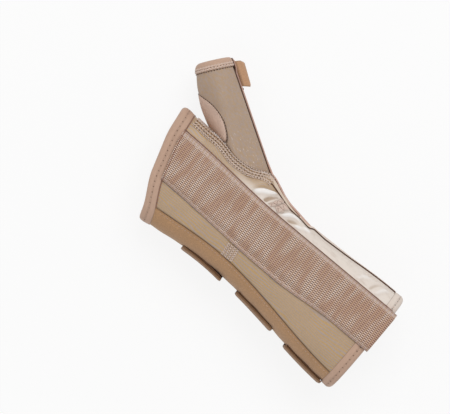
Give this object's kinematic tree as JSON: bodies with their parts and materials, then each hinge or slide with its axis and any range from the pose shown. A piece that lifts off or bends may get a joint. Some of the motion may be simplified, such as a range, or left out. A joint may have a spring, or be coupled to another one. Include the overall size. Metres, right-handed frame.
{
  "type": "wrist and thumb splint",
  "caption": "Soft wrist and thumb splint: open-backed sleeve with a stay pocket on the palm, a slit thumb sleeve with a tab, and hook-and-loop straps.",
  "frame": {"origin": "middle of the wrist strap's rest face, on the back of the splint", "axes": "+Z out of the palm face, +Y toward the fingers, +X toward the thumb; the splint lies on its back"},
  "size_m": [0.1403, 0.2208, 0.0651],
  "materials": {
    "khaki": "fine twill sateen",
    "cream": "satin cloth",
    "tan_loop": "brushed loop pile",
    "binding": "folded binding tape",
    "peach": "folded binding tape",
    "lining": "pale flannel on thin foam",
    "webbing": "ribbed woven tape",
    "metal": "satin",
    "strap": "woven strap",
    "hook": "hook tape",
    "thumb": "smooth close cloth",
    "gusset": "soft knit",
    "tab": "brushed tab"
  },
  "bodies": {
    "sleeve": {"volar_panel_radial": "cream", "volar_panel_ulnar": "khaki", "ulnar_loop_strip": "tan_loop", "opening_binding_ulnar": "binding", "opening_binding_radial": "binding", "dorsal_panel": "khaki", "lining_volar": "lining", "lining_dorsal": "lining", "distal_hem": "binding", "proximal_hem": "binding", "radial_edge_binding": "peach", "stay_pocket_webbing": "webbing", "thumb_front_panel": "thumb", "thumb_web_gusset": "gusset", "thumb_back_panel": "thumb", "thumb_slit_binding": "peach", "thumb_hem": "binding", "thumb_lining": "lining", "strap_base_hand": "strap", "strap_base_wrist": "strap", "strap_base_forearm": "strap"},
    "stay": {"volar_stay": "metal"},
    "thumb_tab": {"thumb_tab": "tab", "thumb_tab_hook": "hook"},
    "strap_hand": {"strap_tail_hand": "strap", "strap_hook_hand": "hook"},
    "strap_wrist": {"strap_tail_wrist": "strap", "strap_hook_wrist": "hook"},
    "strap_forearm": {"strap_tail_forearm": "strap", "strap_hook_forearm": "hook"}
  },
  "joints": [
    {"name": "stay_slide", "type": "slide", "parent": "sleeve", "child": "stay", "axis": [0, -0.9962, 0.0875], "range_m": [0, 0.18]},
    {"name": "strap_hand_peel", "type": "hinge", "parent": "sleeve", "child": "strap_hand", "pos_m": [-0.014, 0.05, 0], "axis": [0, -1, 0], "range_deg": [0, 120]},
    {"name": "strap_wrist_peel", "type": "hinge", "parent": "sleeve", "child": "strap_wrist", "pos_m": [-0.014, 0, 0], "axis": [0, -1, 0], "range_deg": [0, 120]},
    {"name": "strap_forearm_peel", "type": "hinge", "parent": "sleeve", "child": "strap_forearm", "pos_m": [-0.014, -0.05, 0], "axis": [0, -1, 0], "range_deg": [0, 120]},
    {"name": "thumb_tab_peel", "type": "hinge", "parent": "sleeve", "child": "thumb_tab", "pos_m": [0.0754, 0.1128, 0.02848], "axis": [-0.5276, -0.8489, -0.0323], "range_deg": [0, 110]}
  ]
}
